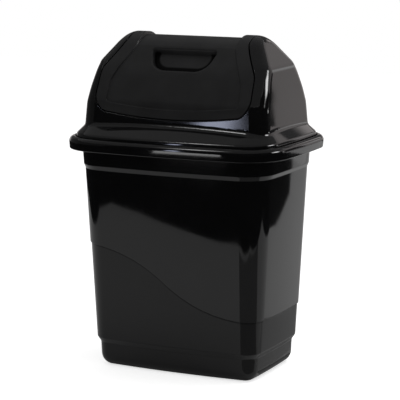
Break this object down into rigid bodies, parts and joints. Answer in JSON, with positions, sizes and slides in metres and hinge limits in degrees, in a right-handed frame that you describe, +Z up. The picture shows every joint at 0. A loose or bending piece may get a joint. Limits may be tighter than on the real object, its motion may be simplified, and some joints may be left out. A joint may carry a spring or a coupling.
{
  "type": "swing-lid trash can",
  "caption": "Tapered rectangular trash can of glossy black plastic with a gabled lift-off hood and a saddle-shaped swing flap.",
  "frame": {"origin": "centre of the footprint, on the plane that the can stands on", "axes": "+Z up, front of the can towards -Y, ridge of the hood along X"},
  "size_m": [0.2598, 0.1922, 0.37],
  "materials": {
    "bucket_plastic": "glossy moulded polypropylene, black",
    "hood_plastic": "glossy moulded polypropylene, black",
    "flap_plastic": "semi-gloss moulded polypropylene, black"
  },
  "bodies": {
    "bucket": {"bucket": "bucket_plastic"},
    "hood": {"hood": "hood_plastic"},
    "flap": {"swing_flap": "flap_plastic"}
  },
  "joints": [
    {"name": "hood_lift", "type": "slide", "parent": "bucket", "child": "hood", "axis": [0, 0, 1], "range_m": [0, 0.14]},
    {"name": "flap_swing", "type": "hinge", "parent": "hood", "child": "flap", "pos_m": [0, 0, 0.356], "axis": [1, 0, 0], "range_deg": [-70, 70]}
  ]
}
